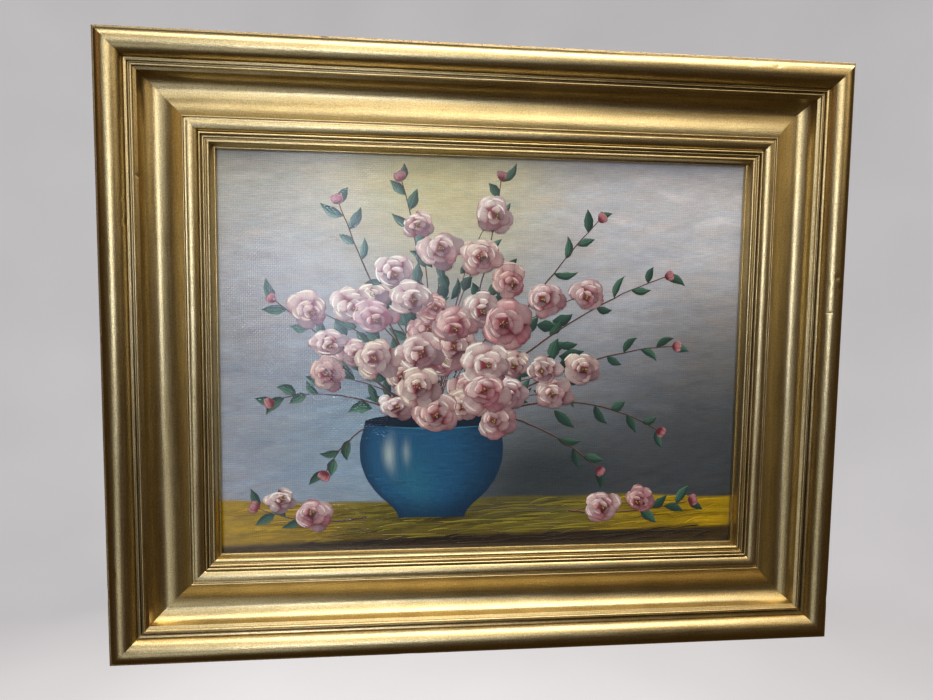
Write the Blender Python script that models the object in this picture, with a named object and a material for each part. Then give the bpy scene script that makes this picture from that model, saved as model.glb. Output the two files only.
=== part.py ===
"""Framed oil painting: a canvas on a wooden stretcher, held in the rabbet of a deep mitred moulding.

Metres, +Z up. The picture faces -Y and the wall is at +Y. The origin is on the flat back of the top
rail, at its middle, where the work is fixed to the wall.
"""

import math

import bmesh
import bpy

# Canvas and stretcher: a 16 by 12 inch picture
CANVAS_WIDTH = 0.4064
CANVAS_HEIGHT = 0.3048
CLOTH_THICKNESS = 0.0008
CANVAS_EDGE_RADIUS = 0.0016
TURNED_BACK = 0.016
BAR_WIDTH = 0.036
BAR_THICKNESS = 0.016
BAR_RIM = 0.006
BAR_BEVEL_DROP = 0.003

# Gaps between pieces that touch in the real object, and the play on each side of the canvas
TOUCHING_GAP = 0.0003
SIDE_PLAY = 0.0016
TOP_PLAY = 0.0022
BACK_RECESS = 0.0012

# Moulding: its width, the rabbet that holds the canvas and the drop from the roll to the sight edge
MOULDING_WIDTH = 0.0762
RABBET_WIDTH = 0.006
SIGHT_EDGE_THICKNESS = 0.0038
SIGHT_DROP = 0.0209
BACK_CHAMFER = 0.0008

# Outer lip and half-round roll
LIP_WIDTH = 0.0016
LIP_ROUNDING = 0.0006
ROLL_RADIUS = 0.0094
ROLL_OUTER_ANGLE = 168.0
ROLL_INNER_ANGLE = 8.0

# Fillet, quirk, small bead and shelf between the roll and the scoop
FILLET_WIDTH = 0.0024
FILLET_DROP = 0.0062
FILLET_BEVEL = 0.0004
QUIRK_WIDTH = 0.0011
QUIRK_DEPTH = 0.0030
SMALL_BEAD_RADIUS = 0.0011
SMALL_BEAD_DROP = 0.0073
SHELF_WIDTH = 0.0020
SHELF_DROP = 0.0087

# Scoop, lowest at a share of its width from the outer side
SCOOP_DROP = 0.0205
SCOOP_LOW_SHARE = 0.37

# Beads between the scoop and the sight edge
THIN_BEAD_RADIUS = 0.0006
THIN_BEAD_DROP = 0.0122
THIN_BEAD_GROOVE_WIDTH = 0.0016
THIN_BEAD_GROOVE_DEPTH = 0.0017
OVOLO_WIDTH = 0.0074
OVOLO_NOSE_RADIUS = 0.0010
OVOLO_DROP = 0.0118
OVOLO_FALL = 0.0034
TWIN_BEAD_RADIUS = 0.0009
OUTER_TWIN_DROP = 0.0128
INNER_TWIN_DROP = 0.0140
GROOVE_WIDTH = 0.0004
GROOVE_CUT = 0.0006
SIGHT_OVOLO_WIDTH = 0.0040
SIGHT_OVOLO_CREST = 0.0018
SIGHT_OVOLO_DROP = 0.0149
SIGHT_LIP_WIDTH = 0.0012
SIGHT_LIP_GROOVE = 0.0004
SIGHT_LIP_ROUNDING = 0.0004

# Points in the curves of the moulding's section
ROLL_STEPS = 22
SCOOP_STEPS = 13
BEAD_STEPS = 6
CORNER_STEPS = 3
SMOOTH_ANGLE = 30.0

# Sizes that follow from the ones above
CANVAS_DEPTH = BAR_THICKNESS + 2 * (CLOTH_THICKNESS + TOUCHING_GAP)
RABBET_DEPTH = BACK_RECESS + CANVAS_DEPTH + TOUCHING_GAP
FRAME_DEPTH = RABBET_DEPTH + SIGHT_EDGE_THICKNESS + SIGHT_DROP
SIGHT_WIDTH = CANVAS_WIDTH + 2 * (SIDE_PLAY - RABBET_WIDTH)
SIGHT_HEIGHT = CANVAS_HEIGHT + 2 * (TOP_PLAY - RABBET_WIDTH)
FRAME_WIDTH = SIGHT_WIDTH + 2 * MOULDING_WIDTH
FRAME_HEIGHT = SIGHT_HEIGHT + 2 * MOULDING_WIDTH
TOP_EDGE = (MOULDING_WIDTH - RABBET_WIDTH) / 2
FRAME_CENTRE = TOP_EDGE - FRAME_HEIGHT / 2
CANVAS_CENTRE = FRAME_CENTRE - TOP_PLAY + TOUCHING_GAP


def clear_scene():
    for item in list(bpy.data.objects):
        bpy.data.objects.remove(item, do_unlink=True)


def make_material(name, colour, roughness, metallic=0.0):
    material = bpy.data.materials.new(name)
    material.use_nodes = True
    shader = material.node_tree.nodes["Principled BSDF"]
    shader.inputs["Base Color"].default_value = (*colour, 1.0)
    shader.inputs["Roughness"].default_value = roughness
    shader.inputs["Metallic"].default_value = metallic
    return material


def arc(centre, radii, start, end, steps):
    """Points on an ellipse's arc, from start to end in degrees."""
    points = []
    for step in range(steps + 1):
        angle = math.radians(start + (end - start) * step / steps)
        points.append((centre[0] + radii[0] * math.cos(angle), centre[1] + radii[1] * math.sin(angle)))
    return points


def bead(start, crest, radius):
    """A half-round bead that stands on its sides, from its outer side to its inner one."""
    return arc((start + radius, crest - radius), (radius, radius), 180, 0, BEAD_STEPS)


def level(drop):
    """Height above the moulding's back of what lies this far below the top of the roll."""
    return FRAME_DEPTH - drop


def lip_and_roll():
    reach = ROLL_RADIUS * math.cos(math.radians(180 - ROLL_OUTER_ANGLE))
    centre = (LIP_WIDTH + reach, level(ROLL_RADIUS))
    roll = arc(centre, (ROLL_RADIUS, ROLL_RADIUS), ROLL_OUTER_ANGLE, ROLL_INNER_ANGLE, ROLL_STEPS)
    lip_top = roll[0][1]
    points = [(BACK_CHAMFER, 0.0), (0.0, BACK_CHAMFER)]
    points += arc((LIP_ROUNDING, lip_top - LIP_ROUNDING), (LIP_ROUNDING, LIP_ROUNDING), 180, 90, CORNER_STEPS)
    return points + roll


def fillets(start):
    """Fillet, quirk, small bead and the shelf above the scoop."""
    top = level(FILLET_DROP)
    end = start + FILLET_WIDTH
    points = [
        (start + FILLET_BEVEL, top - FILLET_BEVEL),
        (start + 2 * FILLET_BEVEL, top),
        (end - FILLET_BEVEL, top),
        (end, top - FILLET_BEVEL),
        (end, top - QUIRK_DEPTH),
        (end + QUIRK_WIDTH, top - QUIRK_DEPTH),
    ]
    bead_start = end + QUIRK_WIDTH
    points += bead(bead_start, level(SMALL_BEAD_DROP), SMALL_BEAD_RADIUS)
    shelf = bead_start + 2 * SMALL_BEAD_RADIUS
    points += [(shelf, level(SHELF_DROP)), (shelf + SHELF_WIDTH, level(SHELF_DROP))]
    return points


def scoop(start, end):
    """Hollow that falls steeply from the shelf and rises gently to the thin bead, whose foot ends it."""
    floor = level(SCOOP_DROP)
    low = start + (end - start) * SCOOP_LOW_SHARE
    top = level(SHELF_DROP)
    points = arc((low, top), (low - start, top - floor), 180, 270, SCOOP_STEPS)[1:]
    run = end - low
    rise = SCOOP_DROP - THIN_BEAD_DROP - THIN_BEAD_RADIUS
    radius = (run * run + rise * rise) / (2 * rise)
    sweep = math.degrees(math.asin(run / radius))
    points += arc((low, floor + radius), (radius, radius), 270, 270 + sweep, SCOOP_STEPS)[1:-1]
    return points


def inner_beads(start):
    """Thin bead, broad ovolo, two small beads, sight ovolo and sight lip."""
    points = bead(start, level(THIN_BEAD_DROP), THIN_BEAD_RADIUS)
    at = start + 2 * THIN_BEAD_RADIUS
    groove = level(THIN_BEAD_DROP + THIN_BEAD_GROOVE_DEPTH)
    points += [(at, groove), (at + THIN_BEAD_GROOVE_WIDTH, groove)]
    at += THIN_BEAD_GROOVE_WIDTH
    nose = (at + OVOLO_NOSE_RADIUS, level(OVOLO_DROP) - OVOLO_NOSE_RADIUS)
    points += arc(nose, (OVOLO_NOSE_RADIUS, OVOLO_NOSE_RADIUS), 180, 90, CORNER_STEPS)
    reach = OVOLO_WIDTH - OVOLO_NOSE_RADIUS
    points += arc((nose[0], level(OVOLO_DROP + OVOLO_FALL)), (reach, OVOLO_FALL), 90, 0, BEAD_STEPS)[1:]
    at += OVOLO_WIDTH
    floor = level(max(OVOLO_DROP + OVOLO_FALL, INNER_TWIN_DROP + TWIN_BEAD_RADIUS)) - GROOVE_CUT
    for drop in (OUTER_TWIN_DROP, INNER_TWIN_DROP):
        points += [(at, floor), (at + GROOVE_WIDTH, floor)]
        at += GROOVE_WIDTH
        points += bead(at, level(drop), TWIN_BEAD_RADIUS)
        at += 2 * TWIN_BEAD_RADIUS
    points.append((at, floor))
    at += GROOVE_WIDTH
    crest = at + SIGHT_OVOLO_CREST
    rise = level(SIGHT_OVOLO_DROP) - floor
    points += arc((crest, floor), (SIGHT_OVOLO_CREST, rise), 180, 90, BEAD_STEPS)
    at += SIGHT_OVOLO_WIDTH
    lip_top = level(SIGHT_DROP)
    foot = lip_top - SIGHT_LIP_GROOVE
    fall = level(SIGHT_OVOLO_DROP) - foot
    points += arc((crest, foot), (at - crest, fall), 90, 0, BEAD_STEPS)[1:]
    points.append((at + SIGHT_LIP_GROOVE, lip_top))
    lip_centre = (MOULDING_WIDTH - SIGHT_LIP_ROUNDING, lip_top - SIGHT_LIP_ROUNDING)
    points += arc(lip_centre, (SIGHT_LIP_ROUNDING, SIGHT_LIP_ROUNDING), 90, 0, CORNER_STEPS)
    return points


def beads_width():
    """Width of everything between the scoop and the sight edge."""
    thin = 2 * THIN_BEAD_RADIUS + THIN_BEAD_GROOVE_WIDTH
    twins = 2 * (2 * TWIN_BEAD_RADIUS + GROOVE_WIDTH) + GROOVE_WIDTH
    return thin + OVOLO_WIDTH + twins + SIGHT_OVOLO_WIDTH + SIGHT_LIP_WIDTH


def moulding_section():
    """Closed outline of the moulding: distance in from the outer edge, height above the back."""
    points = lip_and_roll()
    points += fillets(points[-1][0])
    points += scoop(points[-1][0], MOULDING_WIDTH - beads_width())
    points += inner_beads(MOULDING_WIDTH - beads_width())
    ledge = MOULDING_WIDTH - RABBET_WIDTH
    points += [(MOULDING_WIDTH, RABBET_DEPTH), (ledge, RABBET_DEPTH), (ledge, BACK_CHAMFER)]
    points.append((ledge - BACK_CHAMFER, 0.0))
    return points


def bar_section():
    """Closed outline of a stretcher bar, whose front falls away from the rim that the cloth bears on."""
    return [
        (0.0, 0.0),
        (0.0, BAR_THICKNESS),
        (BAR_RIM, BAR_THICKNESS),
        (BAR_WIDTH, BAR_THICKNESS - BAR_BEVEL_DROP),
        (BAR_WIDTH, 0.0),
    ]


def mitred_mesh(name, section, length):
    """A length of the section, mitred at both ends. It runs along X, its outer edge is at Z = 0, it
    goes inwards along -Z, and its back is at Y = 0."""
    half_gap = TOUCHING_GAP / math.sqrt(2)
    build = bmesh.new()
    rings = []
    for side in (-1, 1):
        ring = []
        for inwards, height in section:
            along = side * (length / 2 - inwards - half_gap)
            ring.append(build.verts.new((along, -height, -inwards)))
        rings.append(ring)
    count = len(section)
    for index in range(count):
        after = (index + 1) % count
        build.faces.new((rings[0][index], rings[0][after], rings[1][after], rings[1][index]))
    build.faces.new(rings[0])
    build.faces.new(rings[1])
    bmesh.ops.recalc_face_normals(build, faces=build.faces)
    mesh = bpy.data.meshes.new(name)
    build.to_mesh(mesh)
    build.free()
    return mesh


def add_object(name, mesh, material, location, turn=0.0):
    if not mesh.materials:
        mesh.materials.append(material)
        mesh.shade_smooth()
        mesh.set_sharp_from_angle(angle=math.radians(SMOOTH_ANGLE))
    item = bpy.data.objects.new(name, mesh)
    item.location = location
    item.rotation_euler = (0.0, math.radians(turn), 0.0)
    bpy.context.collection.objects.link(item)
    return item


def add_four_sides(prefix, section, width, height, back, centre, material):
    """Four mitred lengths round a rectangle centred at this height. Opposite ones share a mesh."""
    across = mitred_mesh(prefix + "_across", section, width)
    upright = mitred_mesh(prefix + "_upright", section, height)
    add_object(prefix + "_top", across, material, (0.0, back, centre + height / 2))
    add_object(prefix + "_bottom", across, material, (0.0, back, centre - height / 2), 180)
    add_object(prefix + "_left", upright, material, (-width / 2, back, centre), 270)
    add_object(prefix + "_right", upright, material, (width / 2, back, centre), 90)


def canvas_rings():
    """Rings of the cloth, from the front's middle out, round the edge, onto the back and inside again:
    distance in from the canvas edge, height above the cloth's own back."""
    outer = CANVAS_EDGE_RADIUS
    inner = CANVAS_EDGE_RADIUS - CLOTH_THICKNESS
    depth = CANVAS_DEPTH
    rings = arc((outer, depth - outer), (outer, outer), 90, 180, CORNER_STEPS)
    rings += arc((outer, outer), (outer, outer), 180, 270, CORNER_STEPS)
    rings += [(TURNED_BACK, 0.0), (TURNED_BACK, CLOTH_THICKNESS)]
    rings += arc((outer, outer), (inner, inner), 270, 180, CORNER_STEPS)
    rings += arc((outer, depth - outer), (inner, inner), 180, 90, CORNER_STEPS)
    return rings


def canvas_mesh():
    """The cloth as one closed skin: a front, four sides and a strip turned onto the back."""
    build = bmesh.new()
    rings = []
    for inset, height in canvas_rings():
        across = CANVAS_WIDTH / 2 - inset
        upright = CANVAS_HEIGHT / 2 - inset
        corners = ((-across, -upright), (across, -upright), (across, upright), (-across, upright))
        rings.append([build.verts.new((x, -height, z)) for x, z in corners])
    for ring, following in zip(rings, rings[1:]):
        for index in range(4):
            after = (index + 1) % 4
            build.faces.new((ring[index], ring[after], following[after], following[index]))
    build.faces.new(rings[0])
    build.faces.new(rings[-1])
    bmesh.ops.recalc_face_normals(build, faces=build.faces)
    mesh = bpy.data.meshes.new("painted_canvas")
    build.to_mesh(mesh)
    build.free()
    return mesh


def main():
    clear_scene()
    gilt = make_material("gilt_moulding", (0.52, 0.38, 0.17), 0.36, 0.85)
    paint = make_material("painted_cloth", (0.42, 0.44, 0.45), 0.45)
    pine = make_material("bare_pine", (0.62, 0.47, 0.29), 0.7)
    add_four_sides("frame_rail", moulding_section(), FRAME_WIDTH, FRAME_HEIGHT, 0.0, FRAME_CENTRE, gilt)
    add_object("painted_canvas", canvas_mesh(), paint, (0.0, -BACK_RECESS, CANVAS_CENTRE))
    skin = CLOTH_THICKNESS + TOUCHING_GAP
    width = CANVAS_WIDTH - 2 * skin
    height = CANVAS_HEIGHT - 2 * skin
    add_four_sides("stretcher_bar", bar_section(), width, height, -BACK_RECESS - skin, CANVAS_CENTRE, pine)


main()
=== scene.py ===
import math

import bmesh
import bpy
import numpy as np
from mathutils import Matrix, Vector


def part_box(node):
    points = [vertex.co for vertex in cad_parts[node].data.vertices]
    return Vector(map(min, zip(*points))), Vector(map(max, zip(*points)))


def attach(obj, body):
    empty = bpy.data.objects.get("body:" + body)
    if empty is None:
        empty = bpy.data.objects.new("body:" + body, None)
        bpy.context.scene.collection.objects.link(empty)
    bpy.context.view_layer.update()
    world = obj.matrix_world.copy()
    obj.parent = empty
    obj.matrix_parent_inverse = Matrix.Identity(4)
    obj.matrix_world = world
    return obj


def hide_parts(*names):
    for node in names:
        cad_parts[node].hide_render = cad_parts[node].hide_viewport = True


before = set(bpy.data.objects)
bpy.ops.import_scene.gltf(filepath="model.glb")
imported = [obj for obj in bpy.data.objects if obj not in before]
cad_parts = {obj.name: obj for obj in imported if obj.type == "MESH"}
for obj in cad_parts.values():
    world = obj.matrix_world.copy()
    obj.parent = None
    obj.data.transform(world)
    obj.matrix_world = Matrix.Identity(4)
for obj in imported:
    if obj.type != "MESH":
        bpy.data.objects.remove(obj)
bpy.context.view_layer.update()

# Sizes that the solids give, in metres
TOP_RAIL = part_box("frame_rail_top")
LEFT_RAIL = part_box("frame_rail_left")
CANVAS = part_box("painted_canvas")
HALF_WIDTH = TOP_RAIL[1].x
HALF_HEIGHT = (LEFT_RAIL[1].z - LEFT_RAIL[0].z) / 2
FRAME_CENTRE = (LEFT_RAIL[1].z + LEFT_RAIL[0].z) / 2
CANVAS_CENTRE = (CANVAS[1].z + CANVAS[0].z) / 2
CANVAS_HALF_WIDTH = CANVAS[1].x
CANVAS_HALF_HEIGHT = (CANVAS[1].z - CANVAS[0].z) / 2
CANVAS_FRONT = CANVAS[0].y
CANVAS_BACK = CANVAS[1].y
SIGHT_HALF_WIDTH = 0.1988
SIGHT_HALF_HEIGHT = 0.1486
MILLIMETRE = 0.001

# Points closer than this are one point
WELD = 1e-6
MITRE_GAP = 0.00005
# How far apart the rings of points along a rail stand
STATION_STEP = 0.003
ARRIS_RADIUS = 0.00018
SHARP_TURN = math.radians(24)
# What stands higher than this above the wall is the moulding's carved face
FACE_HEIGHT = 0.0200
SMOOTH_ANGLE = math.radians(32)
FLAT_ANGLE = math.radians(0.5)

# Blender's wave texture repeats each time its scaled coordinate grows by this
WAVE_REPEAT = 2 * math.pi / 20


def linear(hex_colour):
    """An sRGB colour such as "#c8a45c" as linear red, green, blue and alpha."""
    parts = [int(hex_colour[i:i + 2], 16) / 255.0 for i in (1, 3, 5)]
    return [c / 12.92 if c <= 0.04045 else ((c + 0.055) / 1.055) ** 2.4 for c in parts] + [1.0]


def paint(hex_colour):
    return np.array(linear(hex_colour)[:3])


def smooth_step(low, high, value):
    share = np.clip((value - low) / (high - low), 0.0, 1.0)
    return share * share * (3 - 2 * share)


def held(value, low, high):
    return min(max(float(value), low), high)


def towards(angle, squeeze=1.0):
    return np.array([math.cos(angle), math.sin(angle) * squeeze])


def sideways(angle, squeeze=1.0):
    return np.array([-math.sin(angle), math.cos(angle) * squeeze])


def mixed(first, second, share):
    """Blends two colours, or two fields of colours, by a share from 0 to 1."""
    share = np.asarray(share)[..., None]
    return first * (1 - share) + second * share


def wander(place, seed, wave_length, waves=5):
    """A smooth wandering value of about -1 to 1 along a line, the same at each run."""
    chance = np.random.RandomState(seed)
    total = np.zeros_like(place)
    for turn in range(waves):
        length = wave_length * (0.5 + 1.4 * chance.rand())
        total += np.sin(2 * math.pi * (place / length + chance.rand())) / waves
    return total * 1.6


def add_node(tree, kind, settings=None, values=None, links=None, stops=None):
    """Adds one shader node: its own choices, its sockets' numbers, what feeds it, and a ramp's colours.
    It is fed by a socket, or by a node's first output."""
    made = tree.nodes.new("ShaderNode" + kind)
    for name, value in (settings or {}).items():
        setattr(made, name, value)
    for socket, value in (values or {}).items():
        made.inputs[socket].default_value = value
    for socket, source in (links or {}).items():
        first = source.outputs[0] if isinstance(source, bpy.types.Node) else source
        tree.links.new(first, made.inputs[socket])
    if stops:
        ramp = made.color_ramp.elements
        while len(ramp) < len(stops):
            ramp.new(0.5)
        for element, (place, colour) in zip(ramp, stops):
            element.position = place
            element.color = linear(colour)
    return made


def new_material(name):
    material = bpy.data.materials.new(name)
    material.use_nodes = True
    material.node_tree.nodes.clear()
    return material, material.node_tree


def close_material(tree, surface):
    add_node(tree, "OutputMaterial", links={"Surface": surface})


def stretched_place(tree, attribute, size):
    """A piece's own coordinates, and the same divided by a size, so that a pattern comes out that large."""
    place = add_node(tree, "Attribute", {"attribute_name": attribute})
    divided = add_node(tree, "VectorMath", {"operation": "DIVIDE"}, {1: size}, {0: place.outputs["Vector"]})
    return place.outputs["Vector"], divided


# The gilding: bronze powder in varnish, brushed in long strokes over red clay and gesso.
# It shows as satin champagne gold with a fine sparkle and long brush streaks; the brown in the quirks is
# partly umber toning and partly painted shade.
GOLD = "#c8b27d"
GOLD_PALE = "#cfbc8c"
GOLD_DEEP = "#bfa66e"
# Umber toning and painted shade for the quirks
QUIRK_GRIME_AND_SHADE = "#3a2915"
RED_CLAY = "#5a2713"
GOLD_ROUGHNESS = 0.32
# How long, wide and deep one brush streak is, in metres
STREAK_SIZE = (0.045, 0.0011, 0.0011)
TARNISH_SPREAD = 1 / 38
# Powder grain is under 0.1 mm, so it is drawn at 1 mm to show
SPARKLE_GRAIN = 0.0010


def gilt_moulding_material():
    material, tree = new_material("bronze_powder_gilding")
    place, along = stretched_place(tree, "rail_place", STREAK_SIZE)
    streaks = add_node(tree, "TexNoise", None, {"Scale": 1.0, "Detail": 3.0, "Roughness": 0.6},
                       {"Vector": along})
    clouds = add_node(tree, "TexNoise", None, {"Scale": 1 / TARNISH_SPREAD, "Detail": 2.0}, {"Vector": place})
    grain = add_node(tree, "TexNoise", None, {"Scale": 1 / SPARKLE_GRAIN, "Detail": 2.0, "Roughness": 0.7},
                     {"Vector": place})
    gold = add_node(tree, "ValToRGB", links={"Fac": streaks},
                    stops=[(0.28, GOLD_DEEP), (0.5, GOLD), (0.78, GOLD_PALE)])
    tarnish = add_node(tree, "MapRange", None,
                       {"From Min": 0.35, "From Max": 0.75, "To Min": 1.0, "To Max": 0.86},
                       {"Value": clouds})
    toned = add_node(tree, "VectorMath", {"operation": "SCALE"}, None, {0: gold, 3: tarnish})
    powder = add_node(tree, "MapRange", None,
                      {"From Min": 0.3, "From Max": 0.7, "To Min": 0.70, "To Max": 1.24},
                      {"Value": grain})
    speckled = add_node(tree, "VectorMath", {"operation": "SCALE"}, None, {0: toned, 3: powder})
    # The quirks' depth darkens the gold: partly umber toning and grime, partly painted shade in the recesses.
    quirk = add_node(tree, "Attribute", {"attribute_name": "quirk"})
    grime_and_shade = add_node(tree, "MapRange", {"interpolation_type": "SMOOTHSTEP"},
                     {"From Min": 0.3, "From Max": 0.9, "To Max": 0.85}, {"Value": quirk.outputs["Fac"]})
    grimy_and_shaded = add_node(tree, "Mix", {"data_type": "RGBA"}, {7: linear(QUIRK_GRIME_AND_SHADE)},
                     {0: grime_and_shade, 6: speckled})
    worn = add_node(tree, "Attribute", {"attribute_name": "worn"})
    ragged = add_node(tree, "Math", {"operation": "MULTIPLY_ADD"}, {1: 0.9, 2: -0.45}, {0: grain})
    wear = add_node(tree, "Math", {"operation": "ADD"}, None, {0: worn.outputs["Fac"], 1: ragged})
    bare = add_node(tree, "MapRange", {"interpolation_type": "SMOOTHSTEP"},
                    {"From Min": 0.42, "From Max": 0.62}, {"Value": wear})
    clay = add_node(tree, "Mix", {"data_type": "RGBA"}, {7: linear(RED_CLAY)},
                    {0: bare, 6: grimy_and_shaded.outputs[2]})
    metal = add_node(tree, "Math", {"operation": "SUBTRACT"}, {0: 1.0}, {1: bare})
    rough = add_node(tree, "MapRange", None,
                     {"To Min": GOLD_ROUGHNESS - 0.06, "To Max": GOLD_ROUGHNESS + 0.06},
                     {"Value": streaks})
    streak_bump = add_node(tree, "Bump", None, {"Strength": 0.08, "Distance": 0.00004},
                           {"Height": streaks})
    grain_bump = add_node(tree, "Bump", None, {"Strength": 0.9, "Distance": 0.00013},
                          {"Height": grain, "Normal": streak_bump})
    surface = add_node(tree, "BsdfPrincipled", None, {},
                       {"Base Color": clay.outputs[2], "Metallic": metal,
                        "Roughness": rough, "Normal": grain_bump})
    close_material(tree, surface)
    return material


# Planed softwood: pale straw with darker lines along the grain. It is bare, so it is matt.
WOOD_PALE = "#cdb083"
WOOD_DARK = "#9d7745"
WOOD_GRIME = "#7d6442"
# How long, wide and deep the growth lines and the pores are, in metres
GRAIN_SIZE = (0.16, 0.0022, 0.0022)
PORE_SIZE = (0.02, 0.0005, 0.0005)


def planed_wood_material(name, pale, dark):
    material, tree = new_material(name)
    place, along = stretched_place(tree, "grain_place", GRAIN_SIZE)
    fine = stretched_place(tree, "grain_place", PORE_SIZE)[1]
    rings = add_node(tree, "TexNoise", None,
                     {"Scale": 1.0, "Detail": 4.0, "Roughness": 0.62, "Distortion": 0.4}, {"Vector": along})
    pores = add_node(tree, "TexNoise", None, {"Scale": 1.0, "Detail": 2.0}, {"Vector": fine})
    dirt = add_node(tree, "TexNoise", None, {"Scale": 22.0, "Detail": 4.0}, {"Vector": place})
    wood = add_node(tree, "ValToRGB", links={"Fac": rings},
                    stops=[(0.34, dark), (0.52, pale), (0.75, dark)])
    pored = add_node(tree, "Mix", {"data_type": "RGBA", "blend_type": "MULTIPLY"}, {0: 0.4},
                     {6: wood, 7: pores})
    dirty = add_node(tree, "MapRange", None, {"From Min": 0.45, "From Max": 0.8, "To Max": 0.6},
                     {"Value": dirt})
    toned = add_node(tree, "Mix", {"data_type": "RGBA"}, {7: linear(WOOD_GRIME)},
                     {0: dirty, 6: pored.outputs[2]})
    bump = add_node(tree, "Bump", None, {"Strength": 0.5, "Distance": 0.0002}, {"Height": pores})
    surface = add_node(tree, "BsdfPrincipled", None, {"Roughness": 0.72, "Specular IOR Level": 0.3},
                       {"Base Color": toned.outputs[2], "Normal": bump})
    close_material(tree, surface)
    return material


# Clay-toned sides: the gilder's red clay left showing on the outer sides, dull and slightly rubbed.
def clay_side_material():
    material, tree = new_material("red_clay_sides")
    along = stretched_place(tree, "rail_place", STREAK_SIZE)[1]
    streaks = add_node(tree, "TexNoise", None, {"Scale": 1.0, "Detail": 4.0}, {"Vector": along})
    colour = add_node(tree, "ValToRGB", links={"Fac": streaks},
                      stops=[(0.3, "#35201a"), (0.52, "#553226"), (0.8, "#7d5a40")])
    bump = add_node(tree, "Bump", None, {"Strength": 0.5, "Distance": 0.0001}, {"Height": streaks})
    surface = add_node(tree, "BsdfPrincipled", None, {"Roughness": 0.62, "Metallic": 0.15},
                       {"Base Color": colour, "Normal": bump})
    close_material(tree, surface)
    return material


# Oil paint under a thin varnish: opaque colour with bristle marks, and the cloth's weave under it.
# The varnish gives a broken, speckled gloss where light falls square on it.
# Canvas threads are 0.5 mm apart, and are drawn at 1.5 mm to show.
THREAD_SPACING = 0.0015
# Broken colour and gloss over the threads, drawn at 1.3 mm to show
PIGMENT_GRAIN = 0.0013
WEAVE_TONE = 0.24
# How long and wide one bristle's mark is, in metres. Strokes have no third coordinate.
BRISTLE_SIZE = (0.010, 0.0006, 1.0)


def weave_height(tree, vector, spacing):
    """A plain weave: threads pass over and under each other from square to square."""
    thread = {"Scale": WAVE_REPEAT / spacing, "Distortion": 0.6, "Detail": 1.0, "Detail Scale": 0.4}
    warp, weft = [add_node(tree, "TexWave", {"bands_direction": direction}, thread, {"Vector": vector})
                  for direction in ("X", "Z")]
    over = add_node(tree, "TexChecker", None, {"Scale": 1 / spacing}, {"Vector": vector})
    both = add_node(tree, "Mix", {"data_type": "FLOAT"}, None,
                    {0: over.outputs["Fac"], 2: warp.outputs["Fac"], 3: weft.outputs["Fac"]})
    return both


def oil_paint_material(name, weave_strength):
    material, tree = new_material(name)
    colour = add_node(tree, "Attribute", {"attribute_name": "paint"})
    where = add_node(tree, "TexCoord")
    pulled = stretched_place(tree, "stroke_place", BRISTLE_SIZE)[1]
    bristles = add_node(tree, "TexNoise", None, {"Scale": 1.0, "Detail": 2.0, "Roughness": 0.6},
                        {"Vector": pulled})
    shade = add_node(tree, "MapRange", None,
                     {"From Min": 0.25, "From Max": 0.75, "To Min": 0.80, "To Max": 1.16},
                     {"Value": bristles})
    streaked = add_node(tree, "VectorMath", {"operation": "SCALE"}, None, {0: colour, 3: shade})
    weave = weave_height(tree, where.outputs["Object"], THREAD_SPACING)
    pigment = add_node(tree, "TexNoise", None, {"Scale": 1 / PIGMENT_GRAIN, "Detail": 2.0, "Roughness": 0.7},
                       {"Vector": where.outputs["Object"]})
    # The colour is darker between the threads and lighter on their crests, with a random grain of pigment
    # tone.
    mottled = add_node(tree, "Math", {"operation": "MULTIPLY_ADD"}, {1: 0.45}, {0: weave, 2: pigment})
    weave_toned = add_node(tree, "MapRange", None,
                      {"From Min": 0.3, "From Max": 1.1, "To Min": 1 - WEAVE_TONE * weave_strength,
                       "To Max": 1 + WEAVE_TONE * weave_strength}, {"Value": mottled})
    toned = add_node(tree, "VectorMath", {"operation": "SCALE"}, None, {0: streaked, 3: weave_toned})
    weave_bump = add_node(tree, "Bump", None, {"Strength": weave_strength, "Distance": 0.00008},
                          {"Height": weave})
    bristle_bump = add_node(tree, "Bump", None, {"Strength": 0.5, "Distance": 0.00006},
                            {"Height": bristles, "Normal": weave_bump})
    rough = add_node(tree, "MapRange", None, {"To Min": 0.5, "To Max": 0.7}, {"Value": bristles})
    broken_bump = add_node(tree, "Bump", None, {"Strength": 1.0, "Distance": 0.00009},
                           {"Height": mottled})
    surface = add_node(tree, "BsdfPrincipled", None,
                       {"Coat Weight": 1.0, "Coat Roughness": 0.08, "Specular IOR Level": 0.2},
                       {"Base Color": toned, "Roughness": rough,
                        "Normal": bristle_bump, "Coat Normal": broken_bump})
    close_material(tree, surface)
    return material


# Raw linen: loosely spun flax, beige with darker slubs and a plain weave. It is matt.
# Its threads are 0.7 mm apart, and are drawn at 1.1 mm to show.
LINEN_SPACING = 0.0011


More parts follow.
